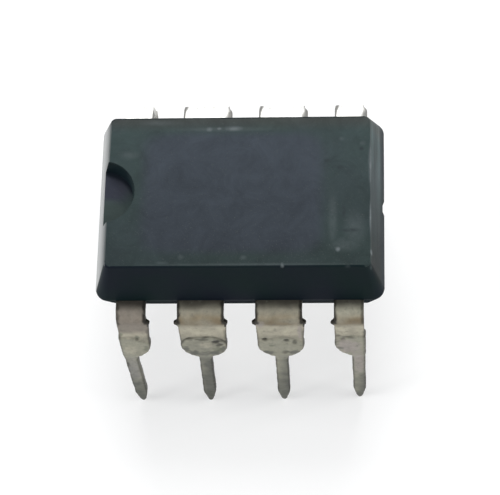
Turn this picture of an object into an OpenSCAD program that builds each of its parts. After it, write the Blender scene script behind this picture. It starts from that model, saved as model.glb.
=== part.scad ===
// Eight-lead dual in-line package: a moulded body on a formed lead frame.
// Millimetres, +Z up, front row of leads at -Y, index notch at -X.
// The origin is on the plane of the lead tips, under the middle of the body.

/* [Moulded body] */
// body length, measured at the parting line
body_length = 9.37; // [9.2:0.01:9.8]
// body width, measured at the parting line
body_width = 6.28; // [6.2:0.01:6.6]
// height of the upper half, parting line to top face
upper_height = 1.63; // [1.5:0.01:1.9]
// height of the lower half, parting line to underside
lower_height = 1.49; // [1.4:0.01:1.8]
// how far the end faces lean in, degrees from upright
end_draft = 15.4; // [7:0.1:17]
// how far the long side faces lean in, degrees from upright
side_draft = 17.2; // [7:0.1:18]
// radius of the body's upright corners at the parting line
corner_radius = 0.42; // [0.3:0.01:0.6]
// radius of the body's upright corners at the top and bottom faces
face_corner_radius = 0.2; // [0.12:0.01:0.3]
// rounding where the drafted sides meet the top and bottom faces
edge_round = 0.06; // [0.03:0.01:0.1]
// height of the upright land that the mould's parting line leaves
parting_land = 0.08; // [0.04:0.01:0.12]

/* [Index notch and gate] */
// radius of the half-round index notch at the top face
notch_radius = 1.09; // [0.8:0.01:1.2]
// depth of the index notch below the top face
notch_depth = 0.58; // [0.3:0.01:0.7]
// lean of the index notch's wall, degrees from upright
notch_draft = 12; // [4:1:15]
// how deep the broken-off gate bites into the right-hand end
gate_bite = 0.12; // [0.04:0.01:0.2]
// radius of the bite that the gate leaves
gate_radius = 0.36; // [0.25:0.01:0.45]
// diameter of the ejector pin's mark under the body
ejector_diameter = 1.6; // [1:0.1:2]

/* [Lead frame] */
// distance between neighbouring leads in a row
lead_pitch = 2.54; // [2.5:0.01:2.58]
// reach of the front row's shoulders, from the body's middle to their outer face
front_reach = 3.83; // [3.75:0.01:4]
// reach of the back row's shoulders, which were bent a little further out
back_reach = 4.02; // [3.75:0.01:4.1]
// thickness of the lead frame's sheet
sheet = 0.25; // [0.2:0.01:0.3]
// inner radius of the bend at each shoulder
bend_radius = 0.18; // [0.12:0.01:0.22]
// width of the leads' wide upper part
wide_width = 1.52; // [1.4:0.01:1.6]
// width left at the cut dambar
dambar_width = 1.76; // [1.7:0.01:1.85]
// width of the leads' thin lower part
thin_width = 0.41; // [0.38:0.01:0.5]
// length of the wide part, from the bend to the start of its rounded end
wide_length = 1.51; // [1.3:0.01:1.6]
// length of a straight leg, from the bend to its tip
leg_length = 5.25; // [4.9:0.01:5.5]
// length of the pointed end of a lead
point_length = 0.62; // [0.4:0.01:0.8]
// width left at the very tip
tip_width = 0.09; // [0.06:0.01:0.16]

/* [How each lead is bent] */
// outward lean of lead 1, front left, degrees
splay_1 = 9.5; // [0:0.1:12]
// outward lean of lead 2, degrees
splay_2 = 9.4; // [0:0.1:12]
// outward lean of lead 3, degrees
splay_3 = 9.1; // [0:0.1:12]
// outward lean of lead 4, front right, degrees
splay_4 = 8; // [0:0.1:12]
// outward lean of lead 5, back right, degrees
splay_5 = 6.8; // [0:0.1:12]
// outward lean of lead 6, degrees
splay_6 = 7.2; // [0:0.1:12]
// outward lean of lead 7, degrees
splay_7 = 7; // [0:0.1:12]
// outward lean of lead 8, back left, degrees
splay_8 = 7.4; // [0:0.1:12]
// sideways lean of the thin part of lead 1, towards lead 2, degrees
lean_1 = 2.2; // [0:0.1:6]
// sideways lean of the thin parts of leads 2 and 3, towards lead 1, degrees
lean_2 = 0.8; // [0:0.1:3]

/* [Inside the moulding] */
// length of the die pad
pad_length = 3.9; // [3.6:0.05:4.1]
// width of the die pad
pad_width = 2.5; // [2.3:0.05:2.6]
// how far the pad is pressed down below the leads
downset = 0.2; // [0.12:0.01:0.3]
// length of the silicon die
die_length = 2.5; // [2.1:0.05:2.8]
// width of the silicon die
die_width = 1.7; // [1.5:0.05:1.9]
// thickness of the silicon die
die_thickness = 0.28; // [0.2:0.01:0.33]
// diameter of the bond wires
wire_diameter = 0.05; // [0.04:0.005:0.06]
// height of a bond wire's loop above its two ends
loop_height = 0.26; // [0.2:0.01:0.35]

/* [Hidden] */

splays = [splay_1, splay_2, splay_3, splay_4, splay_5, splay_6, splay_7, splay_8];
half_l = body_length / 2;
half_w = body_width / 2;
skin = 0.01;

// the bend's outer radius
bend_outer = bend_radius + sheet;
// height of the sheet's top face, which is also the parting line, above the lowest tip
drop = bend_outer + leg_length * cos(min(splays)) - bend_radius * sin(min(splays));
parting = drop;
top = parting + upper_height;
under = parting - lower_height;
top_half_l = half_l - upper_height * tan(end_draft);

// the rounded lower end of a lead's wide part is nearly a half circle
cup_radius = wide_width / 2 + 0.01;
cup_centre = wide_length - sqrt(cup_radius * cup_radius - wide_width * wide_width / 4);
cup_end = cup_centre + sqrt(cup_radius * cup_radius - thin_width * thin_width / 4);
fillet = 0.12;
stub = (dambar_width - wide_width) / 2;
// how deep a shoulder, a bend and a leg lap into one another, so that each lead is one solid
lap = 0.01;

// inside the moulding
gap = 0.28;
bar_width = 0.42;
attach = 0.03;
attach_margin = 0.08;
lock_hole = 0.5;
lock_slot = 0.16;
lock_back = 0.75;
hook_width = 0.75;
pad_top = parting - downset;
die_top = pad_top + attach + die_thickness;
ball_radius = 0.055;
ball_height = 0.04;
finger_in = pad_width / 2 + gap;
hook_in = bar_width / 2 + gap;
hook_edge = pad_length / 2 + gap;
jog = 0.35;
// where the wires are bonded, in from the die's edges and from the fingers' ends
bond_edge = 0.16;
bond_end = 0.3;
stitch_hook = 0.28;
stitch_side = 0.36;
stitch_finger = 0.25;

// where lead n stands along X: 1 to 4 from the left in front, 5 to 8 from the right behind
function lead_x(n) = (n < 5 ? n - 2.5 : 6.5 - n) * lead_pitch;
// an end lead keeps only the half towards its neighbour: -1 means it is cut off on the left
function cut_side(n) = n == 1 || n == 8 ? -1 : n == 4 || n == 5 ? 1 : 0;

// how far the centre of lead n's bend stands from the body's middle
function bend_out(n) = (n < 5 ? front_reach : back_reach) - bend_outer;

// one level of the moulded body: a plate with round corners, drawn in from the parting line
module level(z, inset_end, inset_side, r, t) {
    x = half_l - inset_end - r;
    y = half_w - inset_side - r;
    for (i = [-1, 1], j = [-1, 1])
        translate([i * x, j * y, z]) cylinder(h = t, r = r, $fn = 40);
}

// one half of the moulding, from the parting line up over height h
module half_body(h) {
    hull() {
        level(0, 0, 0, corner_radius, parting_land / 2);
        for (a = [0:30:90]) {
            z = h - edge_round + edge_round * sin(a);
            back = edge_round * (1 - cos(a));
            level(z - skin, z * tan(end_draft) + back, z * tan(side_draft) + back,
                  face_corner_radius, skin);
        }
    }
}

// the moulding as it leaves the mould, before room is made for the parts inside it
module moulding() {
    difference() {
        union() {
            translate([0, 0, parting]) half_body(upper_height);
            translate([0, 0, parting]) mirror([0, 0, 1]) half_body(lower_height);
        }
        // index notch, open through the left-hand end
        translate([-top_half_l - notch_radius * 0.18, 0, top - notch_depth])
            cylinder(h = notch_depth * 2, r1 = notch_radius - notch_depth * tan(notch_draft),
                     r2 = notch_radius + notch_depth * tan(notch_draft), $fn = 96);
        // bite of the broken-off gate at the parting line of the right-hand end
        translate([half_l - gate_bite + gate_radius, 0.05, parting - 0.5])
            cylinder(h = 0.72, r = gate_radius, $fn = 48);
        // ejector pin's mark
        translate([0, 0, under - 1]) cylinder(h = 1.04, d = ejector_diameter, $fn = 64);
    }
}

module package_body() {
    color([0.2, 0.22, 0.23]) difference() {
        moulding();
        for (n = [1:8]) lead(n);
        pad_and_bars();
        attach_film();
        chip();
        for (n = [1:8]) wire(n);
    }
}

// outline of a straight leg, drawn with its bend end at y = 0 and its tip downwards
module leg_outline(n) {
    side = cut_side(n);
    lean = n == 1 ? lean_1 : n == 2 || n == 3 ? -lean_2 : 0;
    keep = thin_width / 2;
    left = side == -1 ? -keep : -wide_width;
    right = side == 1 ? keep : wide_width;
    intersection() {
        union() {
            // wide part with its rounded end
            intersection() {
                translate([-wide_width / 2, -cup_end - 1]) square([wide_width, cup_end + 1]);
                union() {
                    translate([-wide_width / 2, -wide_length])
                        square([wide_width, wide_length]);
                    translate([0, -cup_centre]) circle(r = cup_radius, $fn = 96);
                }
            }
            // what the press left of the dambar: a spur one side, a longer taper the other
            polygon([[-wide_width / 2, 0], [-wide_width / 2 - stub, 0],
                     [-wide_width / 2 - stub, -0.06], [-wide_width / 2, -0.2]]);
            polygon([[wide_width / 2, 0], [wide_width / 2 + stub, 0],
                     [wide_width / 2 + stub * 0.9, -0.12], [wide_width / 2 + stub * 0.45, -0.3],
                     [wide_width / 2, -1.1]]);
            // thin part, turned about the middle of the rounded end, and its point
            translate([0, -cup_centre]) rotate(lean) {
                reach = leg_length - cup_centre;
                polygon([[-keep, 0], [-keep, -reach + point_length],
                         [-tip_width / 2 - 0.05, -reach + 0.12], [-tip_width / 2, -reach],
                         [tip_width / 2, -reach], [tip_width / 2 + 0.05, -reach + 0.12],
                         [keep, -reach + point_length], [keep, 0]]);
            }
            // inside corners where the thin part leaves the rounded end
            for (i = [-1, 1])
                difference() {
                    translate([i > 0 ? keep - 0.02 : -keep - fillet, -cup_end - fillet + 0.02])
                        square([fillet + 0.02, fillet + 0.04]);
                    translate([i * (keep + fillet), -cup_end - fillet + 0.02])
                        circle(r = fillet, $fn = 48);
                }
        }
        translate([left, -leg_length - 1]) square([right - left, leg_length + 1]);
        leg_trim(n);
    }
}

// an end lead is trimmed along the outer edge of its thin part, lean and all
module leg_trim(n) {
    keep = thin_width / 2;
    if (n == 1)
        translate([0, -cup_centre]) rotate(lean_1)
            translate([-keep, -leg_length]) square([2 * dambar_width, leg_length + 2 * cup_centre]);
    else
        translate([-dambar_width, -leg_length - wide_width])
            square([2 * dambar_width, leg_length + wide_width]);
}

// outline of what stays in one plane, seen from above: the finger and the shoulder
module finger_outline(n) {
    side = cut_side(n);
    keep = thin_width / 2;
    left = side == -1 ? -keep : -wide_width / 2;
    right = side == 1 ? keep : wide_width / 2;
    x = abs(lead_x(n));
    difference() {
        union() {
            if (side == 0) {
                translate([left, finger_in]) square([right - left, bend_out(n) - finger_in]);
            } else {
                // an end finger turns in towards the pad's tie bar
                translate([left, hook_in]) square([right - left, bend_out(n) - hook_in]);
                inner = x - hook_edge;
                translate([side < 0 ? 0 : -inner, hook_in]) square([inner, hook_width]);
            }
        }
        // a hole and two side slots that the moulding flows into, so the lead can't pull out
        middle = (left + right) / 2;
        translate([middle, half_w - lock_back]) circle(d = lock_hole, $fn = 48);
        for (i = [left, right])
            translate([i, half_w - lock_back]) circle(r = lock_slot, $fn = 32);
    }
}

// one lead in the front row's frame: u outwards, x along the row
module formed_lead(n) {
    side = cut_side(n);
    keep = thin_width / 2;
    left = side == -1 ? -keep : -wide_width / 2;
    right = side == 1 ? keep : wide_width / 2;
    stub_left = side == -1 ? left : left - stub;
    stub_right = side == 1 ? right : right + stub;
    a = splays[n - 1];
    translate([0, 0, parting - sheet]) linear_extrude(sheet) finger_outline(n);
    translate([0, bend_out(n), parting - bend_outer]) rotate([90, 0, 90]) {
        // the bend, and the cut dambar on the lower end of it
        translate([0, 0, left]) rotate([0, 0, a])
            rotate_extrude(angle = 90 - a, $fn = 96)
                translate([bend_radius, 0]) square([sheet, right - left]);
        translate([0, 0, stub_left]) rotate([0, 0, a])
            rotate_extrude(angle = 15, $fn = 96)
                translate([bend_radius, 0]) square([sheet, stub_right - stub_left]);
    }
    translate([0, bend_out(n), parting - bend_outer]) rotate([a, 0, 0])
        translate([0, bend_outer, 0]) rotate([90, 0, 0]) linear_extrude(sheet) leg_outline(n);
    // inside the sheet, cores lap the bend with the shoulder and with the leg
    translate([0, bend_out(n), parting - bend_outer]) {
        translate([left + lap, -5 * lap, bend_radius + lap])
            cube([right - left - 2 * lap, 7 * lap, sheet - 2 * lap]);
        rotate([a, 0, 0]) translate([left + lap, bend_radius + lap, -5 * lap])
            cube([right - left - 2 * lap, sheet - 2 * lap, 7 * lap]);
    }
}

// front leads are turned to face -Y, back leads +Y; both rows keep their places along X
module lead(n) {
    if (n < 5) translate([lead_x(n), 0, 0]) mirror([0, 1, 0]) formed_lead(n);
    else translate([lead_x(n), 0, 0]) formed_lead(n);
}

// the die pad, pressed down below the leads, with a tie bar to each end of the body
module pad_and_bars() {
    reach = half_l;
    translate([-pad_length / 2, -pad_width / 2, pad_top - sheet])
        cube([pad_length, pad_width, sheet]);
    for (i = [-1, 1]) {
        end = i > 0 ? reach - gate_bite + 0.02 : reach;
        rotate([0, 0, i > 0 ? 0 : 180])
            translate([0, bar_width / 2, parting]) rotate([90, 0, 0])
                linear_extrude(bar_width)
                    polygon([[pad_length / 2 - 0.2, -downset], [pad_length / 2, -downset],
                             [pad_length / 2 + jog, 0], [end, 0], [end, -sheet],
                             [pad_length / 2 + jog, -sheet],
                             [pad_length / 2, -downset - sheet],
                             [pad_length / 2 - 0.2, -downset - sheet]]);
    }
}

module die_pad() color([0.72, 0.45, 0.3]) pad_and_bars();

module attach_film() {
    translate([-die_length / 2 - attach_margin, -die_width / 2 - attach_margin, pad_top])
        cube([die_length + 2 * attach_margin, die_width + 2 * attach_margin, attach]);
}

module die_attach() color([0.75, 0.75, 0.72]) attach_film();

module chip() {
    translate([-die_length / 2, -die_width / 2, pad_top + attach])
        cube([die_length, die_width, die_thickness]);
}

module die() color([0.4, 0.42, 0.5]) chip();

// a bond wire's end on the die, and its end on the finger of lead n
function on_die(n) = [sign(lead_x(n)) * (abs(lead_x(n)) > lead_pitch ? die_length / 2 - bond_edge
                                                                    : die_length / 6),
                      (n < 5 ? -1 : 1) * (abs(lead_x(n)) > lead_pitch ? bond_end
                                                                    : die_width / 2 - bond_edge),
                      die_top];
function on_finger(n) = [abs(lead_x(n)) > lead_pitch ? sign(lead_x(n)) * (hook_edge + stitch_hook)
                                                     : lead_x(n) * 0.9,
                         (n < 5 ? -1 : 1) * (abs(lead_x(n)) > lead_pitch ? hook_in + stitch_side
                                                                    : finger_in + stitch_finger),
                         parting];

// a loop of round wire standing in one upright plane, a ball at one end, a stitch at the other
module wire(n) {
    p = on_die(n) + [0, 0, ball_height / 2];
    q = on_finger(n) + [0, 0, ball_height / 2];
    flat = norm([q[0] - p[0], q[1] - p[1]]);
    chord = norm(q - p);
    radius = (chord * chord / 4 + loop_height * loop_height) / (2 * loop_height);
    sweep = 2 * asin(chord / 2 / radius);
    translate(p) rotate([0, 0, atan2(q[1] - p[1], q[0] - p[0])])
        rotate([0, -atan2(q[2] - p[2], flat), 0])
            translate([chord / 2, 0, loop_height - radius]) rotate([90, 0, 0])
                rotate([0, 0, 90 - sweep / 2])
                    rotate_extrude(angle = sweep, $fn = 64)
                        translate([radius, 0]) circle(d = wire_diameter, $fn = 16);
    translate(on_die(n)) cylinder(h = ball_height, r = ball_radius, $fn = 24);
    translate(on_finger(n)) cylinder(h = ball_height, r = ball_radius, $fn = 24);
}

module lead_colour(n) color([0.66, 0.65, 0.58]) lead(n);
module wire_colour(n) color([0.86, 0.68, 0.3]) wire(n);

module lead_1() lead_colour(1);
module lead_2() lead_colour(2);
module lead_3() lead_colour(3);
module lead_4() lead_colour(4);
module lead_5() lead_colour(5);
module lead_6() lead_colour(6);
module lead_7() lead_colour(7);
module lead_8() lead_colour(8);
module bond_wire_1() wire_colour(1);
module bond_wire_2() wire_colour(2);
module bond_wire_3() wire_colour(3);
module bond_wire_4() wire_colour(4);
module bond_wire_5() wire_colour(5);
module bond_wire_6() wire_colour(6);
module bond_wire_7() wire_colour(7);
module bond_wire_8() wire_colour(8);

package_body();
lead_1();
lead_2();
lead_3();
lead_4();
lead_5();
lead_6();
lead_7();
lead_8();
die_pad();
die_attach();
die();
bond_wire_1();
bond_wire_2();
bond_wire_3();
bond_wire_4();
bond_wire_5();
bond_wire_6();
bond_wire_7();
bond_wire_8();
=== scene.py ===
import math
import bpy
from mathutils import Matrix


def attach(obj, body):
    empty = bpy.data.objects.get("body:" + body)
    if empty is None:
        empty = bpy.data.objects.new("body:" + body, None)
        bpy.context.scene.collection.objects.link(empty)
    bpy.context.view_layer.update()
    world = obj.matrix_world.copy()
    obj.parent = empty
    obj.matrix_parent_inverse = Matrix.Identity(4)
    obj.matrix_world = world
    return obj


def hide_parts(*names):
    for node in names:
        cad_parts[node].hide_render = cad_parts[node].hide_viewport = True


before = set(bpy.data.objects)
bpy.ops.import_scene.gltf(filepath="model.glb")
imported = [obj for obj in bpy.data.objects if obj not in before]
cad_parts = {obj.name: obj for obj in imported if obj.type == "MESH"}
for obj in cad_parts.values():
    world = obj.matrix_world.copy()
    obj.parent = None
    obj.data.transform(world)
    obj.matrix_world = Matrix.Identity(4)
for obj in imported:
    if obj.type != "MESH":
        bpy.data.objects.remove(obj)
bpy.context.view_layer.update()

from types import SimpleNamespace
import bmesh
import bpy
from mathutils import Euler, Matrix, Vector, noise

# Camera. It stands in front of the chip, high up and a little to the right, as the
# photograph was taken. Its place comes from the lead spacing read off the photograph.
MM = 0.001
CAMERA_PLACE = Vector((4.79924, -26.90719, 66.79263)) * MM
CAMERA_TURN = (22.7440, 3.7085, 1.1757)
camera_data = bpy.data.cameras.new("camera")
camera_data.sensor_width = 36
camera_data.lens = 146.66
camera_data.clip_start = 0.001
camera_data.clip_end = 10
camera = bpy.data.objects.new("camera", camera_data)
camera.matrix_world = Matrix.LocRotScale(
    CAMERA_PLACE, Euler([math.radians(turn) for turn in CAMERA_TURN]), None)
bpy.context.scene.collection.objects.link(camera)
bpy.context.scene.camera = camera
bpy.context.scene.view_settings.view_transform = "Standard"


# Floor. A sheet of matt white paper, large enough to reach the horizon of the low
# views. It stays white in reflections too, and keeps the chip's soft shadow.
def add_node(tree, kind, **inputs):
    """A node with some of its inputs set by name."""
    made = tree.nodes.new(kind)
    for name, value in inputs.items():
        made.inputs[name.replace("_", " ")].default_value = value
    return made


def feed(tree, value, socket):
    """Links a socket to the value, or sets it: to a colour, where the value is a tuple."""
    if isinstance(value, bpy.types.NodeSocket):
        tree.links.new(value, socket)
    elif isinstance(value, tuple):
        socket.default_value = (*value, 1)
    else:
        socket.default_value = value


def combine(tree, operation, first, second, kind="ShaderNodeMath"):
    """One sum on two values, each a socket or a plain number, or on two vectors."""
    made = tree.nodes.new(kind)
    made.operation = operation
    feed(tree, first, made.inputs[0])
    feed(tree, second, made.inputs[1])
    return made.outputs[0]


def length_of(tree, vector):
    """How long a vector is."""
    made = tree.nodes.new("ShaderNodeVectorMath")
    made.operation = "LENGTH"
    tree.links.new(vector, made.inputs[0])
    return made.outputs["Value"]


def ramp(tree, value, start, stop, low=0.0, high=1.0, smooth=False):
    """Goes from low to high while the value goes from start to stop."""
    made = tree.nodes.new("ShaderNodeMapRange")
    made.interpolation_type = "SMOOTHSTEP" if smooth else "LINEAR"
    feed(tree, value, made.inputs["Value"])
    feed(tree, start, made.inputs["From Min"])
    feed(tree, stop, made.inputs["From Max"])
    feed(tree, low, made.inputs["To Min"])
    feed(tree, high, made.inputs["To Max"])
    return made.outputs["Result"]


def object_place(tree):
    """The place on the piece, in metres, in the chip's own frame."""
    return tree.nodes.new("ShaderNodeTexCoord").outputs["Object"]


def seen_directly(tree):
    """1 for what the camera sees, straight, in a reflection or through glass; else 0."""
    path = tree.nodes.new("ShaderNodeLightPath")
    mirrored = combine(tree, "MAXIMUM", path.outputs["Is Camera Ray"],
                       path.outputs["Is Glossy Ray"])
    return combine(tree, "MAXIMUM", mirrored, path.outputs["Is Transmission Ray"])


def mix_shaders(tree, share, first, second, surface):
    """Shows the first shader where the share is 0 and the second where it's 1."""
    mix = tree.nodes.new("ShaderNodeMixShader")
    tree.links.new(share, mix.inputs["Fac"])
    tree.links.new(first.outputs[0], mix.inputs[1])
    tree.links.new(second.outputs[0], mix.inputs[2])
    tree.links.new(mix.outputs[0], surface)


floor_mesh = bpy.data.meshes.new("floor")
bm = bmesh.new()
bmesh.ops.create_grid(bm, x_segments=1, y_segments=1, size=1.5)
bm.to_mesh(floor_mesh)
bm.free()
floor = bpy.data.objects.new("floor", floor_mesh)
bpy.context.scene.collection.objects.link(floor)
paper = bpy.data.materials.new("white_paper")
paper.use_nodes = True
tree = paper.node_tree
sheet = tree.nodes["Principled BSDF"]
sheet.inputs["Base Color"].default_value = (0.93, 0.93, 0.93, 1)
sheet.inputs["Roughness"].default_value = 0.9
sheet.inputs["Specular IOR Level"].default_value = 0.1
# seen by eye or in a reflection the paper glows a little, which keeps the shadow light,
# and more the farther off it is, where the lamps don't reach
glow = add_node(tree, "ShaderNodeEmission", Color=(1, 1, 1, 1), Strength=1.0)
farther = ramp(tree, length_of(tree, object_place(tree)), 0.03, 0.30, 0.4, 1.0)
glow_share = combine(tree, "MULTIPLY", seen_directly(tree), farther)
mix_shaders(tree, glow_share, sheet, glow, tree.nodes["Material Output"].inputs["Surface"])
floor.data.materials.append(paper)

# Light tent. The world is white where the camera or a glossy surface looks straight
# at it, and dimmer as a light. Four soft boxes give the top face its quiet sheen.
world = bpy.data.worlds.new("light_tent")
bpy.context.scene.world = world
world.use_nodes = True
tree = world.node_tree
tree.nodes.clear()
tent = tree.nodes.new("ShaderNodeOutputWorld")
white = add_node(tree, "ShaderNodeBackground", Color=(1, 1, 1, 1), Strength=1.0)
dim = add_node(tree, "ShaderNodeBackground", Color=(0.97, 0.985, 1, 1), Strength=0.50)
mix_shaders(tree, seen_directly(tree), dim, white, tent.inputs["Surface"])


def softbox(name, place, size, watts):
    """One square area lamp, turned to face the chip."""
    lamp = bpy.data.lights.new(name, "AREA")
    lamp.shape = "SQUARE"
    lamp.size = size
    lamp.energy = watts
    box = bpy.data.objects.new(name, lamp)
    box.location = place
    turn = Vector((0, 0, 0.004)) - Vector(place)
    box.rotation_euler = turn.to_track_quat("-Z", "Y").to_euler()
    bpy.context.scene.collection.objects.link(box)


softbox("softbox_back", (0.0, 0.190, 0.228), size=0.13, watts=0.46)
softbox("softbox_left", (-0.27, -0.02, 0.11), size=0.16, watts=0.54)
softbox("softbox_right", (0.27, 0.02, 0.11), size=0.16, watts=0.48)
softbox("softbox_front", (0.02, -0.26, 0.13), size=0.16, watts=0.12)


# Die pad, adhesive, die and wires. The pad and its tie bars are stamped from copper-alloy
# sheet; the silicon die is glued on with silver-filled epoxy and wired to the leads in gold.
# The moulding seals them in, and only the tie bars' sheared ends show.
def group_socket(group, name, way, value=None):
    """Adds one named number to what a shader node group takes in or puts out."""
    made = group.interface.new_socket(name=name, socket_type="NodeSocketFloat", in_out=way)
    if value is not None:
        made.default_value = value


def cloud(tree, place, scale, detail, roughness, distortion=0.0):
    """Cloudy noise about 0.5, by which colours and roughness drift over a surface."""
    made = add_node(tree, "ShaderNodeTexNoise", Detail=detail, Roughness=roughness,
                    Distortion=distortion)
    feed(tree, scale, made.inputs["Scale"])
    tree.links.new(place, made.inputs["Vector"])
    return made.outputs["Fac"]


# Speckle, used by every finish of the chip: soft spots of a given size, as dust, pores and
# blotches make them. It puts out one mask.
speckle = bpy.data.node_groups.new("speckle", "ShaderNodeTree")
group_socket(speckle, "Scale", "INPUT", 1000.0)
group_socket(speckle, "Amount", "INPUT", 0.5)
group_socket(speckle, "Softness", "INPUT", 0.1)
group_socket(speckle, "Mask", "OUTPUT")
given = speckle.nodes.new("NodeGroupInput").outputs
spots = ramp(speckle, cloud(speckle, object_place(speckle), given["Scale"], 4.0, 0.6),
             combine(speckle, "SUBTRACT", given["Amount"], given["Softness"]),
             combine(speckle, "ADD", given["Amount"], given["Softness"]), smooth=True)
speckle.links.new(spots, speckle.nodes.new("NodeGroupOutput").inputs["Mask"])


def add_speckle(tree, scale, amount, softness):
    """Places the speckle group with this material's own values."""
    made = tree.nodes.new("ShaderNodeGroup")
    made.node_tree = speckle
    made.inputs["Scale"].default_value = scale
    made.inputs["Amount"].default_value = amount
    made.inputs["Softness"].default_value = softness
    return made.outputs["Mask"]


def blend_colour(tree, mask, first, second, mode="MIX"):
    """Mixes two colours, each a socket or a plain colour, by a mask."""
    mix = tree.nodes.new("ShaderNodeMix")
    mix.data_type = "RGBA"
    mix.blend_type = mode
    feed(tree, mask, mix.inputs[0])
    feed(tree, first, mix.inputs[6])
    feed(tree, second, mix.inputs[7])
    return mix.outputs[2]


def inner_finish(name, dark, light, scale, metallic, smoothest, roughest):
    """A material whose colour and roughness drift between two values over the surface."""
    made = bpy.data.materials.new(name)
    made.use_nodes = True
    tree = made.node_tree
    bsdf = tree.nodes["Principled BSDF"]
    bsdf.inputs["Metallic"].default_value = metallic
    drift = cloud(tree, object_place(tree), scale, 4.0, 0.6)
    spots = combine(tree, "MULTIPLY", add_speckle(tree, scale * 4, 0.62, 0.06), 0.4)
    colour = blend_colour(tree, drift, dark, light)
    colour = blend_colour(tree, spots, colour, tuple(c * 0.4 for c in dark))
    tree.links.new(colour, bsdf.inputs["Base Color"])
    tree.links.new(ramp(tree, drift, 0.0, 1.0, smoothest, roughest), bsdf.inputs["Roughness"])
    return made


copper = inner_finish("bare_copper", (0.26, 0.14, 0.09), (0.44, 0.25, 0.16), 2500.0, 0.9, 0.4, 0.6)
silver = inner_finish("silver_epoxy", (0.38, 0.38, 0.36), (0.55, 0.55, 0.53), 6000.0, 0.3, 0.5, 0.7)
silicon = inner_finish("silicon", (0.07, 0.08, 0.12), (0.12, 0.13, 0.19), 3000.0, 0.4, 0.1, 0.2)
gold = inner_finish("gold_wire", (0.78, 0.52, 0.17), (0.88, 0.63, 0.24), 8000.0, 1.0, 0.2, 0.32)
inside = {"die_pad": copper, "die_attach": silver, "die": silicon}
for n in range(1, 9):
    inside[f"bond_wire_{n}"] = gold
for node, finish in inside.items():
    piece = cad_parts[node]
    piece.data.materials.clear()
    piece.data.materials.append(finish)

# Moulded body. Matt black epoxy, pressed in two drafted mould halves round the lead
# frame. The halves meet at the parting line; the index notch is moulded in, the gate's
# bite in the right-hand end is where the runner was broken off.
cad_points = [v.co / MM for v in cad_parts["package_body"].data.vertices]
HALF_L, HALF_W = max(c.x for c in cad_points), max(c.y for c in cad_points)
TOP, UNDER = max(c.z for c in cad_points), min(c.z for c in cad_points)
UPPER_HALF = 1.63
PARTING = TOP - UPPER_HALF
LEAN_END, LEAN_SIDE = math.tan(math.radians(15.4)), math.tan(math.radians(17.2))
LAND, LAND_CORNER, TOP_CORNER, EDGE_ROUND = 0.04, 0.42, 0.2, 0.06
NOTCH_RADIUS, NOTCH_DEPTH, NOTCH_DRAFT = 1.09, 0.58, math.tan(math.radians(12))
NOTCH_FLOOR = TOP - NOTCH_DEPTH
GATE_RADIUS, GATE_DEPTH = 0.36, 0.12
EJECTOR_RADIUS, EJECTOR_DEPTH = 0.8, 0.04
# past this the body's faces belong to its two ends
TOP_END = 4.24


def mould_half(bm, height, way):
    """A plate with round corners, extruded level by level and drawn in as the mould is."""
    plate = bmesh.ops.create_grid(bm, x_segments=1, y_segments=1, size=1)
    bmesh.ops.scale(bm, verts=plate["verts"], vec=(HALF_L, HALF_W, 1))
    before = set(bm.verts) - set(plate["verts"])
    bmesh.ops.bevel(bm, geom=plate["verts"], offset=LAND_CORNER, segments=12, profile=0.5,
                    affect="VERTICES", material=-1)
    face = [f for f in bm.faces if not (set(f.verts) & before)][0]
    start = face
    rim = {}
    for v in face.verts:
        side = Vector((math.copysign(1, v.co.x), math.copysign(1, v.co.y), 0))
        middle = Vector((side.x * (HALF_L - LAND_CORNER), side.y * (HALF_W - LAND_CORNER), 0))
        rim[tuple(round(c, 4) for c in v.co.xy)] = (side, (v.co - middle) / LAND_CORNER)
    # the narrow land beside the parting line, then the drafted wall and its rounded edge
    levels = [(LAND, 0.0, LAND_CORNER, 0)]
    for step in range(7):
        turn = math.radians(15 * step)
        levels.append((height - EDGE_ROUND + EDGE_ROUND * math.sin(turn),
                       EDGE_ROUND * (1 - math.cos(turn)), TOP_CORNER, 1))
    for up, back, radius, leans in levels:
        grown = bmesh.ops.extrude_face_region(bm, geom=[face])["geom"]
        face = [g for g in grown if isinstance(g, bmesh.types.BMFace)][0]
        after = {}
        for v in face.verts:
            side, out = rim[tuple(round(c, 4) for c in v.co.xy)]
            v.co.x = side.x * (HALF_L - up * LEAN_END * leans - back - radius) + out.x * radius
            v.co.y = side.y * (HALF_W - up * LEAN_SIDE * leans - back - radius) + out.y * radius
            v.co.z = PARTING + up * way
            after[tuple(round(c, 4) for c in v.co.xy)] = (side, out)
        rim = after
    for v in start.verts:
        v.co.z = PARTING
    bm.faces.remove(start)


def shape(name, bm):
    """Makes an object of a bmesh and links it into the scene."""
    mesh = bpy.data.meshes.new(name)
    bm.to_mesh(mesh)
    bm.free()
    made = bpy.data.objects.new(name, mesh)
    bpy.context.scene.collection.objects.link(made)
    return made


def settle(target):
    """Makes what the modifiers do part of the mesh."""
    graph = bpy.context.evaluated_depsgraph_get()
    done = bpy.data.meshes.new_from_object(target.evaluated_get(graph))
    target.modifiers.clear()
    target.data = done


def carve_round(target, name, place, depth, low_radius, high_radius, segments):
    """Cuts a round, upright, drafted recess into the target."""
    bm = bmesh.new()
    bmesh.ops.create_cone(bm, cap_ends=True, segments=segments, depth=depth,
                          radius1=low_radius, radius2=high_radius)
    bmesh.ops.translate(bm, verts=bm.verts, vec=place)
    cutter = shape(name, bm)
    recess = target.modifiers.new("carve", "BOOLEAN")
    recess.operation = "DIFFERENCE"
    recess.solver = "EXACT"
    recess.object = cutter
    settle(target)
    bpy.data.objects.remove(cutter)


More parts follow.
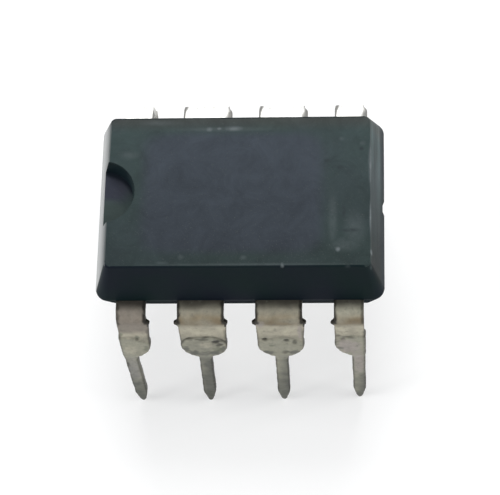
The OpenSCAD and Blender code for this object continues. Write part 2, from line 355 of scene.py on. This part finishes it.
bm = bmesh.new()
mould_half(bm, TOP - PARTING, 1)
mould_half(bm, PARTING - UNDER, -1)
bmesh.ops.remove_doubles(bm, verts=bm.verts, dist=1e-4)
bmesh.ops.recalc_face_normals(bm, faces=bm.faces)
body = shape("moulded_body", bm)
notch_centre = -(HALF_L - UPPER_HALF * LEAN_END) - NOTCH_RADIUS * 0.18
carve_round(body, "notch_cutter", (notch_centre, 0, TOP), 2 * NOTCH_DEPTH,
            NOTCH_RADIUS - NOTCH_DEPTH * NOTCH_DRAFT, NOTCH_RADIUS + NOTCH_DEPTH * NOTCH_DRAFT, 96)
carve_round(body, "gate_cutter", (HALF_L - GATE_DEPTH + GATE_RADIUS, 0.05, PARTING - 0.14),
            2 * GATE_RADIUS, GATE_RADIUS, GATE_RADIUS, 48)
carve_round(body, "ejector_cutter", (0, 0, UNDER + EJECTOR_DEPTH - 0.5), 1.0,
            EJECTOR_RADIUS, EJECTOR_RADIUS, 64)
bm = bmesh.new()
bm.from_mesh(body.data)
bmesh.ops.remove_doubles(bm, verts=bm.verts, dist=1e-4)
bmesh.ops.scale(bm, verts=bm.verts, vec=(MM, MM, MM))
bm.to_mesh(body.data)
bm.free()

# where the paler skin goes, part dust and part painted light: faces that look up and the two ends
# are painted lighter, the left-hand end is also rubbed to a slight shine; the top's end edges carry
# painted highlight lines
dust_and_painted_light = body.data.attributes.new("dust_and_painted_light", "FLOAT", "FACE")
shiny_and_reflecting = body.data.attributes.new("shiny_and_reflecting", "FLOAT", "FACE")
for face in body.data.polygons:
    face.use_smooth = True
    x, z = face.center.x / MM, face.center.z / MM
    along, up = face.normal.x, face.normal.z
    on_top_edge = up > 0.3 and z > TOP - 0.07
    dust_and_light, shine_and_reflection = (1.0 if up > 0.95 else 0.0), 0.0
    if abs(x) > TOP_END and along * x > 0:
        dust_and_light = abs(along) ** 6
        if along < -0.9 and up > 0 and z < TOP - 0.062:
            shine_and_reflection = 1.0
    if along > 0.1 and on_top_edge:
        dust_and_light = 1.0
    if along < -0.1 and on_top_edge and x < -4.2:
        dust_and_light, shine_and_reflection = 1.0, 1.6
    # the right of the notch's wall gets a little of the paler skin
    if NOTCH_FLOOR + 0.005 < z and -4.4 < x < 0 and along < -0.7 and 0.1 < up < 0.6:
        dust_and_light = -1.6 * along - 1.12
    dust_and_painted_light.data[face.index].value = dust_and_light
    shiny_and_reflecting.data[face.index].value = shine_and_reflection
body.data.set_sharp_from_angle(angle=math.radians(32))
worn_edges = body.modifiers.new("worn_edges", "BEVEL")
worn_edges.width = 0.012 * MM
worn_edges.segments = 2
worn_edges.limit_method = "ANGLE"
worn_edges.angle_limit = math.radians(32)
flat_faces = body.modifiers.new("flat_faces_stay_flat", "WEIGHTED_NORMAL")
flat_faces.keep_sharp = True


def scuff(tree, place, centre, size, core=0.1, squarer=False):
    """A patch of the moulding, in mm: 1 inside its core, fading to 0 at its oval rim."""
    vectors = "ShaderNodeVectorMath"
    away = combine(tree, "SUBTRACT", place, [c * MM for c in centre], vectors)
    far = combine(tree, "MULTIPLY", away, [1 / (s * MM) for s in size], vectors)
    for _ in range(2 if squarer else 0):
        # the squares of its parts bring the oval's outline near a rectangle
        far = combine(tree, "MULTIPLY", far, far, vectors)
    return ramp(tree, length_of(tree, far), 1.0, core, smooth=True)


def scuffs(tree, place, patches):
    """Several patches in one mask, each given by its centre and its half sizes."""
    mask = 0.0
    for centre, size in patches:
        mask = combine(tree, "MAXIMUM", mask, scuff(tree, place, centre, size))
    return mask


def own_value(tree, name, output="Fac"):
    """What the mesh itself carries under a name."""
    made = tree.nodes.new("ShaderNodeAttribute")
    made.attribute_name = name
    return made.outputs[output]


def relief(tree, height, strength, distance, normal=None):
    """Small bumps, as high as the distance, in mm, over those of another normal."""
    made = add_node(tree, "ShaderNodeBump", Strength=strength, Distance=distance * MM)
    tree.links.new(height, made.inputs["Height"])
    if normal is not None:
        tree.links.new(normal, made.inputs["Normal"])
    return made.outputs["Normal"]


moulding = bpy.data.materials.new("moulding_compound")
moulding.use_nodes = True
tree = moulding.node_tree
epoxy = tree.nodes["Principled BSDF"]
epoxy.inputs["Specular IOR Level"].default_value = 0.04
epoxy.inputs["Coat Roughness"].default_value = 0.3
place = object_place(tree)
split = tree.nodes.new("ShaderNodeSeparateXYZ")
tree.links.new(place, split.inputs[0])
at_x, at_y, at_z = split.outputs
# the black resin, then the paler skin of the faces that look up and outwards: part dust, part
# painted light
drift = cloud(tree, place, 380.0, 3.0, 0.6)
base = blend_colour(tree, ramp(tree, drift, 0.36, 0.64),
                    (0.0050, 0.0124, 0.0130), (0.0064, 0.0094, 0.0152))
dust_and_light = blend_colour(tree, drift, (0.0275, 0.0450, 0.0400), (0.0300, 0.0380, 0.0450))
# the middle of the top and the notch's floor are bluer; towards its mouth the floor gets painted
# light, paler, against the notch's shade
middle = scuff(tree, place, (-0.19, -0.05, TOP), (3.14, 2.27, 0.60), 0.45, True)
dust_and_light = blend_colour(tree, middle, dust_and_light, (0.0335, 0.0408, 0.0508))
notch_floor = scuff(tree, place, (-4.25, 0.50, NOTCH_FLOOR), (1.0, 1.0, 0.30), 0.4)
dust_and_light = blend_colour(tree, notch_floor, dust_and_light, (0.0290, 0.0320, 0.0450))
notch_mouth_light = scuff(tree, place, (-4.35, -0.62, NOTCH_FLOOR), (1.0, 0.75, 0.30), 0.5)
dust_and_light = blend_colour(tree, notch_mouth_light, dust_and_light, (0.0385, 0.0535, 0.0515))
# along the back edge the skin is browner
back_edge = ramp(tree, at_y, 2.05 * MM, 2.55 * MM, 0.0, 0.6, smooth=True)
dust_and_light = blend_colour(tree, back_edge, dust_and_light, (0.0380, 0.0375, 0.0350))
# painted sheen: lighter towards the back, darker towards the front; its tone also varies in patches
sheen_towards_back = ramp(tree, at_y, -2.9 * MM, 2.8 * MM, 0.78, 1.24)
patches = cloud(tree, place, 1100.0, 5.0, 0.7, 0.8)
patches_and_sheen = combine(tree, "MULTIPLY", sheen_towards_back, ramp(tree, patches, 0.3, 0.7, 0.84, 1.20))
dust_and_light = blend_colour(tree, 1.0, dust_and_light, patches_and_sheen, "MULTIPLY")
grains = add_speckle(tree, 26000.0, 0.66, 0.05)
dust_and_light = blend_colour(tree, grains, dust_and_light, (0.056, 0.064, 0.064))
# painted shade in the crook of the notch, along its back wall
clear = scuff(tree, place, (-4.52, -0.14, NOTCH_FLOOR), (1.14, 1.04, 0.40), 0.85)
notch_shade = scuff(tree, place, (-4.0, 0.75, NOTCH_FLOOR), (1.1, 0.85, 0.30), 0.7)
painted_notch_shade = combine(tree, "SUBTRACT", notch_shade, clear)
painted_notch_shade.node.use_clamp = True
dust_and_light = blend_colour(tree, painted_notch_shade, dust_and_light, (0.009, 0.013, 0.019))
# the right-hand end is streaked along its length, and painted darker towards the front as shade
at_end = ramp(tree, at_x, TOP_END * MM, (TOP_END + 0.06) * MM)
lengthways = add_node(tree, "ShaderNodeMapping", Scale=(1.0, 0.10, 1.0))
tree.links.new(place, lengthways.inputs["Vector"])
streaks = cloud(tree, lengthways.outputs["Vector"], 3600.0, 4.0, 0.6)
end_streaks_and_shade = combine(tree, "MULTIPLY", ramp(tree, streaks, 0.3, 0.7, 0.5, 1.5),
                   ramp(tree, at_y, -2.8 * MM, 1.2 * MM, 0.15, 1.45))
streaked_and_shaded = blend_colour(tree, 1.0, dust_and_light, end_streaks_and_shade, "MULTIPLY")
dust_and_light = blend_colour(tree, at_end, dust_and_light, streaked_and_shaded)
# low down on the ends the paler skin and its painted light are left off
raised = ramp(tree, at_z, (PARTING + 0.16) * MM, (PARTING + 0.68) * MM, smooth=True)
dust_and_light_share = combine(tree, "MULTIPLY", own_value(tree, "dust_and_painted_light"), raised)
base = blend_colour(tree, dust_and_light_share, base, dust_and_light)
# the left-hand end is rubbed to a shine, and painted paler as a reflection, the more the lower down
# it is
rub_and_reflection = ramp(tree, at_z, (TOP - 0.1) * MM, (PARTING + 0.5) * MM, 0.25, 1.0)
polish_and_reflection = combine(tree, "MULTIPLY", own_value(tree, "shiny_and_reflecting"), rub_and_reflection)
tree.links.new(polish_and_reflection, epoxy.inputs["Coat Weight"])
base = blend_colour(tree, polish_and_reflection, base, (0.120, 0.130, 0.130))
# scrapes that handling left: light ones near the edges, faint ones, a few darker dents; two long
# light ones on the right-hand end's top edge are painted highlight lines
scrape_noise = add_speckle(tree, 6000.0, 0.44, 0.24)
light_scuffs_and_highlights = scuffs(tree, place, (
    ((-0.98, 2.20, TOP), (0.17, 0.12, 0.1)), ((-0.66, 2.22, TOP), (0.13, 0.08, 0.1)),
    ((-0.20, 2.22, TOP), (0.46, 0.13, 0.1)), ((1.46, -2.60, TOP), (0.09, 0.14, 0.12)),
    ((4.28, -2.12, TOP - 0.12), (0.09, 0.15, 0.2)), ((4.31, -2.66, TOP - 0.16), (0.10, 0.14, 0.2)),
    # the last two patches, long and thin on the right-hand end's top edge, are painted highlight
    # lines
    ((3.22, -2.05, TOP), (0.12, 0.13, 0.1)), ((4.26, 0.90, TOP - 0.05), (0.12, 1.00, 0.18)),
    ((4.26, -0.95, TOP - 0.05), (0.08, 0.75, 0.14))))
faint_scuffs = scuffs(tree, place, (
    ((-1.78, -2.30, TOP), (0.15, 0.12, 0.1)), ((0.22, -2.32, TOP), (0.16, 0.12, 0.1)),
    ((-2.36, -2.50, TOP), (0.30, 0.08, 0.1)), ((3.53, -2.66, TOP), (0.14, 0.10, 0.12)),
    ((3.32, 1.82, TOP), (0.12, 0.10, 0.1)), ((4.00, 1.66, TOP), (0.13, 0.12, 0.1)),
    ((3.05, -1.0, TOP), (0.22, 1.3, 0.1)), ((3.75, -1.35, TOP), (0.5, 0.9, 0.1)),
    ((-0.5, 2.20, TOP), (2.2, 0.12, 0.1)), ((0.3, -2.56, TOP), (4.4, 0.07, 0.1)),
    ((3.45, -1.9, TOP), (0.7, 0.35, 0.1)), ((-2.6, 2.45, TOP), (0.9, 0.14, 0.1)),
    ((-3.55, 1.3, TOP), (0.45, 0.2, 0.1))))
dents = scuffs(tree, place, (
    ((2.86, 1.05, TOP), (0.14, 0.11, 0.1)), ((3.28, 0.80, TOP), (0.17, 0.11, 0.1)),
    ((3.96, 1.46, TOP), (0.13, 0.10, 0.1)), ((3.6, -1.4, TOP), (0.5, 0.10, 0.1)),
    ((3.4, -0.7, TOP), (0.10, 0.4, 0.1))))
scuffs_and_highlights = combine(tree, "MAXIMUM", light_scuffs_and_highlights, combine(tree, "MULTIPLY", faint_scuffs, 0.26))
scrapes_and_highlights = combine(tree, "MULTIPLY", scuffs_and_highlights, ramp(tree, scrape_noise, 0.0, 1.0, 0.45, 1.0))
base = blend_colour(tree, scrapes_and_highlights, base, (0.105, 0.122, 0.128))
dented = combine(tree, "MULTIPLY", dents, scrape_noise)
base = blend_colour(tree, dented, base, (0.024, 0.031, 0.034))
tree.links.new(base, epoxy.inputs["Base Color"])
# rougher below the parting line, where no finger has been
below = combine(tree, "LESS_THAN", at_z, (PARTING - LAND - 0.005) * MM)
rough = combine(tree, "MAXIMUM", ramp(tree, patches, 0.0, 1.0, 0.36, 0.52), below)
tree.links.new(rough, epoxy.inputs["Roughness"])
grain_relief = relief(tree, cloud(tree, place, 15000.0, 4.0, 0.65), 0.5, 0.006)
scrape_relief = relief(tree, scrapes_and_highlights, 0.4, 0.004, grain_relief)
tree.links.new(scrape_relief, epoxy.inputs["Normal"])
body.data.materials.clear()
body.data.materials.append(moulding)
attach(body, "root")
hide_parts("package_body")

# Leads. Each is one piece of copper-alloy sheet, stamped, tin-plated and bent down at the
# shoulder. These have been soldered: a skin of dull solder covers the wide ends and the
# thin parts, lumpy and pitted, and stops at an uneven line below the bend.
PITCH, BEND, FRONT_REACH, BACK_REACH = 2.54, 0.43, 3.83, 4.02
WIDE_HALF, THIN_HALF = 0.76, 0.205
# how far down the leg, from the end of the bend, it starts and ends to get thinner, and
# where its sideways lean starts
THINS_FROM, THIN_BY, LEAN_FROM = 1.95, 2.35, 1.39
# how many degrees each leg stands outwards, and leans sideways
SPLAY = (9.5, 9.4, 9.1, 8.0, 6.8, 7.2, 7.0, 7.4)
LEAN = (2.2, -0.8, -0.8, 0, 0, 0, 0, 0)
PLATED, PAINTED_HIGHLIGHT, BROWN = (0.268, 0.256, 0.205), (0.400, 0.374, 0.298), (0.186, 0.154, 0.104)
SOLDER, TARNISH, PINK = (0.272, 0.268, 0.216), (0.112, 0.115, 0.100), (0.300, 0.272, 0.254)
GRIME_AND_SHADE, GREEN, PAINTED_GLARE = (0.012, 0.011, 0.009), (0.150, 0.158, 0.118), (0.86, 0.86, 0.84)
GREY, DULL, CLEAN = (0.240, 0.234, 0.236), (0.192, 0.170, 0.148), (0.330, 0.325, 0.262)

# Stains, pits and painted highlights seen on each front lead: across, down the leg, half width,
# half height (all in mm), colour, strength, and how deep it is pressed in.
STAINS_AND_HIGHLIGHTS = {
    1: ((0.08, 0.75, 0.30, 0.18, PAINTED_HIGHLIGHT, 0.6, 0), (0.38, 0.86, 0.10, 0.14, GREEN, 0.8, 0.01),
        (0.10, 1.65, 0.24, 0.40, PAINTED_HIGHLIGHT, 0.5, -0.01), (-0.20, 0.05, 0.07, 0.16, GRIME_AND_SHADE, 0.6, 0),
        (-0.16, 0.68, 0.10, 0.14, GREEN, 0.7, 0.01), (-0.13, 2.62, 0.11, 0.20, GRIME_AND_SHADE, 0.95, 0.03),
        (0.62, 1.60, 0.10, 0.20, GREEN, 0.6, 0), (0.36, 1.00, 0.06, 0.07, GRIME_AND_SHADE, 0.5, 0.02),
        (0.08, 2.95, 0.35, 0.90, GREY, 0.5, 0)),
    2: ((0.0, 1.35, 0.80, 0.50, TARNISH, 0.28, 0), (0.42, 1.12, 0.17, 0.13, GRIME_AND_SHADE, 0.85, 0.02),
        (0.52, 1.32, 0.14, 0.14, GRIME_AND_SHADE, 0.7, 0.02), (0.50, 1.04, 0.18, 0.12, GRIME_AND_SHADE, 0.5, 0),
        (-0.45, 0.96, 0.16, 0.09, GRIME_AND_SHADE, 0.3, 0.01), (-0.05, 0.97, 0.26, 0.07, GRIME_AND_SHADE, 0.6, 0.01),
        (-0.62, 1.62, 0.14, 0.22, TARNISH, 0.9, 0), (-0.38, 1.82, 0.24, 0.17, TARNISH, 0.95, 0),
        (0.36, 1.82, 0.24, 0.17, TARNISH, 0.9, 0), (0.62, 1.62, 0.14, 0.22, TARNISH, 0.9, 0),
        (0.0, 4.95, 0.30, 0.60, GRIME_AND_SHADE, 0.2, 0),
        (0.08, 1.28, 0.24, 0.24, PAINTED_HIGHLIGHT, 0.45, -0.02), (-0.02, 1.88, 0.55, 0.16, TARNISH, 0.75, 0),
        (0.45, 1.60, 0.20, 0.16, GREEN, 0.7, 0), (-0.72, -0.1, 0.06, 0.5, GREEN, 0.4, 0)),
    3: ((-0.52, 1.02, 0.12, 0.11, GRIME_AND_SHADE, 0.75, 0.03), (0.20, 1.04, 0.12, 0.11, GRIME_AND_SHADE, 0.75, 0.03),
        (0.46, 1.16, 0.10, 0.16, GRIME_AND_SHADE, 0.6, 0.02), (-0.28, 1.38, 0.13, 0.08, GREEN, 0.8, 0.01),
        (0.14, 1.82, 0.14, 0.12, GRIME_AND_SHADE, 0.55, 0.02), (-0.50, 1.80, 0.16, 0.10, GRIME_AND_SHADE, 0.6, 0),
        (-0.62, 0.05, 0.16, 0.20, PINK, 0.7, 0), (0.66, 0.55, 0.09, 0.50, PINK, 0.8, 0),
        (-0.42, 1.86, 0.24, 0.15, TARNISH, 0.9, 0), (0.46, 1.84, 0.22, 0.16, TARNISH, 0.9, 0),
        (0.0, 0.02, 0.50, 0.14, BROWN, 0.7, 0)),
    4: ((-0.50, 0.32, 0.17, 0.16, PAINTED_HIGHLIGHT, 0.9, -0.025), (-0.30, 0.90, 0.25, 0.07, GRIME_AND_SHADE, 0.45, 0.01),
        (-0.66, 0.80, 0.10, 0.10, GRIME_AND_SHADE, 0.5, 0.01), (-0.48, 1.05, 0.10, 0.10, GRIME_AND_SHADE, 0.5, 0.02),
        (-0.35, 1.50, 0.50, 0.50, PINK, 0.9, 0), (0.0, 2.6, 0.30, 0.9, PINK, 0.8, 0),
        (-0.60, 1.62, 0.12, 0.14, TARNISH, 0.7, 0)),
}
# how dark each lead's thin part has gone, at its top and at its tip
TARNISHED = ((0.18, 1.25), (0.90, 1.3), (0.46, 1.1), (0.05, 0.85),
             (0.4, 0.8), (0.6, 0.9), (0.3, 0.7), (0.5, 0.9))


def soft_step(low, high, value):
    """0 below low, 1 above high, smooth between."""
    t = min(1.0, max(0.0, (value - low) / (high - low)))
    return t * t * (3 - 2 * t)


def toward(colour, other, share):
    """A plain colour moved towards another one."""
    return tuple(a + (b - a) * share for a, b in zip(colour, other))


def find_place(n, v):
    """Where a vertex of lead n is on the lead, in mm, and which way it looks."""
    at = SimpleNamespace(n=n, back_row=n > 4, y=v.co.y, z=v.co.z, normal=v.normal)
    at.x = v.co.x - (n - 2.5 if n < 5 else 6.5 - n) * PITCH
    # how far out from the chip's middle, and how far down the leg from the end of the bend:
    # s is less than 0 on the bend and the shoulder, and runs along the sheet there too
    at.out = abs(at.y)
    slope = math.radians(SPLAY[n - 1])
    at.s = (PARTING - BEND + BEND * math.sin(slope) - at.z) / math.cos(slope)
    if at.s < 0.0:
        reach = BACK_REACH if at.back_row else FRONT_REACH
        at.s = at.s * 0.8 - max(0.0, reach - at.out) * 0.9
    at.bare = at.out > HALF_W - 0.02
    at.thin = soft_step(THINS_FROM, THIN_BY, at.s)
    # how far off the lead's middle line, which may lean, and how near its sheared edge
    at.off = at.x - (at.s - LEAN_FROM) * math.tan(math.radians(LEAN[n - 1])) * at.thin
    at.half = WIDE_HALF + (THIN_HALF - WIDE_HALF) * at.thin
    if (n in (1, 8) and at.x < 0) or (n in (4, 5) and at.x > 0):
        at.near = THIN_HALF - abs(at.off)
    else:
        at.near = at.half - abs(at.off)
    at.rise = soft_step(3.40, 4.0, at.out)
    return at


def lumps(at, seed, size):
    """Smooth noise about 0, its own for each lead and seed, as coarse as size, in mm."""
    seed += at.n
    return noise.noise(Vector((at.x / size + seed * 7.3, at.y / size - seed * 3.1,
                               at.z / size + seed)))


def solder_skin(at):
    """How covered with solder a place is, how much in the groove along the solder's upper
    edge, which droops towards the sides of the lead, and how high the skin stands, in mm."""
    line = 0.84 + 0.42 * at.x * at.x / 0.58 + 0.14 * lumps(at, 0, 0.45)
    covered = soft_step(line - 0.04, line + 0.06, at.s)
    dome = max(0.0, 1 - (at.x / 0.80) ** 2) * (1 - at.thin)
    high = covered * (0.010 + 0.034 * dome + 0.014 * lumps(at, 9, 0.33)
                      + 0.006 * lumps(at, 17, 0.11))
    high += (1 - covered) * 0.005 * lumps(at, 23, 0.2)
    groove = math.exp(-((at.s - line) / 0.05) ** 2) * (1 - at.thin)
    return covered, groove, high - 0.010 * groove


def plated_colour(at):
    """The plating: plain on the shoulder, browned on the bend, with a painted highlight just below
    it.
    """
    brown = soft_step(-0.62, -0.25, at.s) * (1 - soft_step(0.0, 0.22, at.s))
    highlight_share = soft_step(0.0, 0.30, at.s) * (1 - soft_step(0.62, 0.92, at.s))
    colour = toward(PLATED, BROWN, brown * (0.75 + 0.7 * lumps(at, 41, 0.4)))
    colour = toward(colour, PAINTED_HIGHLIGHT, highlight_share * (0.72 + 0.5 * lumps(at, 43, 0.3)))
    # lead 1 is duller than the rest down to its solder, lead 4 cleaner on its shoulder
    if at.n == 1:
        colour = toward(colour, DULL, (1 - soft_step(0.4, 0.75, at.s)) * 0.85)
    if at.n == 4:
        colour = toward(colour, CLEAN, (1 - soft_step(-0.6, -0.2, at.s)) * 0.7)
    return colour


def tarnish(at):
    """How dark the thin part has gone: more towards its tip, and with painted shade on the side
    away from the light.
    """
    top, tip = TARNISHED[at.n - 1]
    dark = top + (tip - top) * soft_step(2.6, 5.1, at.s)
    # painted shade on the side away from the light
    dark += (0.35 if at.n > 1 else -0.35) * at.off / THIN_HALF * at.thin
    dark += 0.45 * lumps(at, 51, 0.3)
    return min(1, max(0, dark)) * soft_step(1.8, 2.5, at.s)


def stained(at, colour, high):
    """The colour and the skin's height after the stains, pits and painted highlights of the outer
    face.
    """
    outer = soft_step(0.1, 0.4, -abs(at.normal.x) + 0.5) * (1 if at.bare else 0)
    if at.normal.y * (1 if at.back_row else -1) < -0.2:
        outer = 0.0
    for x, s, half_x, half_s, mark_colour, strength, deep in STAINS_AND_HIGHLIGHTS.get(at.n, ()):
        far = math.hypot((at.x - x) / half_x, (at.s - s) / half_s) + 0.35 * lumps(at, 61, 0.1)
        if far < 1.3 and at.s > -0.5:
            spot = (1 - soft_step(0.45, 1.15, far)) * outer
            colour = toward(colour, mark_colour, spot * strength)
            high -= deep * spot
    return colour, high


def edge_shade(at):
    """How much painted shade and dark reflection the sheared edges of the shoulder and the sides of
    the leg get.
    """
    side = (0.82 - 0.25 * soft_step(0.1, 0.5, at.s)) * soft_step(0.35, 0.85, abs(at.normal.x))
    if not at.back_row:
        edge = 1 - soft_step(0.055, 0.13, at.near + 0.05 * lumps(at, 31, 0.15))
        edge *= (1 - soft_step(-0.04, 0.10, at.s)) if at.half > 0.5 else 0.0
        if abs(at.x) > WIDE_HALF + 0.015 and at.s < 0.2:
            edge = 1.0
        if (at.n == 1 and at.x < 0) or (at.n == 4 and at.x > 0):
            edge *= 0.7
        return max(side * (1 - 0.6 * at.thin if at.n == 1 else 1), 0.95 * edge)
    # on the back row it is only a narrow line, which thins out towards the bend
    wide = 0.02 if at.n == 8 else 0.065
    if at.x > 0:
        edge = 0.85 * (1 - soft_step(0.0, 0.05, at.near - wide + (wide + 0.01) * at.rise))
        edge *= 1 - soft_step(0.5, 0.85, at.rise) * (at.n == 8)
    else:
        edge = 0.85 * (1 - soft_step(0.03, 0.085, abs(at.near - 0.09 * at.rise))) * (at.n < 8)
    edge *= 1 - soft_step(0.0, 0.2, at.s)
    lit = soft_step(0.2, 0.8, at.s)
    side *= max(0.4, lit) if at.x > 0 or at.n == 8 else lit
    return max(side, 0.95 * edge)


def lead_finish(at):
    """The colour of a place on a lead, and how high its skin stands there, in mm."""
    covered, groove, high = solder_skin(at)
    colour = toward(plated_colour(at), SOLDER, covered)
    colour = toward(colour, TARNISH, tarnish(at))
    colour, high = stained(at, colour, high)
    # the groove along the solder's upper edge is darker, most on lead 2
    groove_darkening = (0.85 if at.n == 2 else 0.2) * groove
    colour = toward(colour, GRIME_AND_SHADE, groove_darkening * (0.7 + lumps(at, 71, 0.25)))
    # shaded where it leaves the resin
    resin = 1 - soft_step(0.05, 0.42, at.out - HALF_W + 0.06 * lumps(at, 81, 0.3))
    colour = toward(colour, GRIME_AND_SHADE, 0.86 * resin)
    if at.back_row:
        # painted highlight: the back row's shoulders and bends are painted nearly white
        colour = toward(colour, PAINTED_GLARE, 1 - soft_step(0.1, 0.7, at.s))
    colour = toward(colour, GRIME_AND_SHADE, edge_shade(at))
    # painted shade: a dark line along the leg's edges
    rim = (1 - soft_step(0.015, 0.075, at.near)) * soft_step(0.2, 0.6, at.s)
    return toward(colour, GRIME_AND_SHADE, 0.5 * rim), high


def press_marks(at):
    """How far the press moved a place along x, in mm: it left the dambar's stubs as pointed
    spurs, and a burr along one edge of the back row's shoulders."""
    shift = 0.0
    if abs(at.x) > WIDE_HALF and at.s < 0.3:
        spur = soft_step(3.60, 3.72, at.out) * soft_step(-0.14, -0.06, at.s)
        spur *= 1 - soft_step(0.0, 0.12, at.s) * (1 if at.x < 0 else 0.6)
        kept = WIDE_HALF + (0.0 if at.back_row else 0.13 * spur)
        shift -= math.copysign(max(0.0, abs(at.x) - kept), at.x)
    if 4 < at.n < 8 and at.x > 0:
        burr = soft_step(3.16, 3.3, at.out) * (1 - soft_step(0.40, 0.95, at.rise))
        shift += 0.12 * burr * soft_step(0.10, 0.0, at.near)
    return shift


def soldered_lead(n):
    """A copy of the CAD lead, remeshed finely, with its solder skin raised on it."""
    bm = bmesh.new()
    bm.from_mesh(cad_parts[f"lead_{n}"].data)
    bmesh.ops.scale(bm, verts=bm.verts, vec=(1 / MM, 1 / MM, 1 / MM))
    bmesh.ops.remove_doubles(bm, verts=bm.verts, dist=1e-4)
    blank = shape(f"tinned_lead_{n}", bm)
    fine = blank.modifiers.new("fine", "REMESH")
    fine.mode = "VOXEL"
    fine.voxel_size = 0.034
    settle(blank)
    bm = bmesh.new()
    bm.from_mesh(blank.data)
    for _ in range(3):
        bmesh.ops.smooth_vert(bm, verts=bm.verts, factor=0.5, use_axis_x=True, use_axis_y=True,
                              use_axis_z=True)
    bm.normal_update()
    finish = bm.verts.layers.float_color.new("finish")
    moves = []
    for v in bm.verts:
        at = find_place(n, v)
        colour, high = lead_finish(at)
        v[finish] = (*colour, 1)
        move = v.normal * (high if at.bare else 0.0)
        move.x += press_marks(at)
        moves.append(move)
    for v, move in zip(bm.verts, moves):
        v.co += move
        v.co.z = max(v.co.z, 0.004)
    bmesh.ops.scale(bm, verts=bm.verts, vec=(MM, MM, MM))
    bm.to_mesh(blank.data)
    bm.free()
    for face in blank.data.polygons:
        face.use_smooth = True
    return blank


tin = bpy.data.materials.new("tinned_lead")
tin.use_nodes = True
tree = tin.node_tree
metal = tree.nodes["Principled BSDF"]
metal.inputs["Metallic"].default_value = 0.45
metal.inputs["Specular IOR Level"].default_value = 0.2
place = object_place(tree)
drift = cloud(tree, place, 5200.0, 4.0, 0.62)
mottle = blend_colour(tree, drift, (0.62, 0.63, 0.62), (1.38, 1.36, 1.34))
colour = blend_colour(tree, 1.0, own_value(tree, "finish", "Color"), mottle, "MULTIPLY")
blots = combine(tree, "MULTIPLY", add_speckle(tree, 7500.0, 0.62, 0.07), 0.4)
colour = blend_colour(tree, blots, colour, (0.12, 0.118, 0.10))
tree.links.new(colour, metal.inputs["Base Color"])
tree.links.new(ramp(tree, drift, 0.0, 1.0, 0.34, 0.60), metal.inputs["Roughness"])
rolled = relief(tree, cloud(tree, place, 9000.0, 5.0, 0.65), 0.6, 0.014)
tree.links.new(rolled, metal.inputs["Normal"])

for n in range(1, 9):
    lead = soldered_lead(n)
    lead.data.materials.clear()
    lead.data.materials.append(tin)
    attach(lead, "root")
    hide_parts(f"lead_{n}")
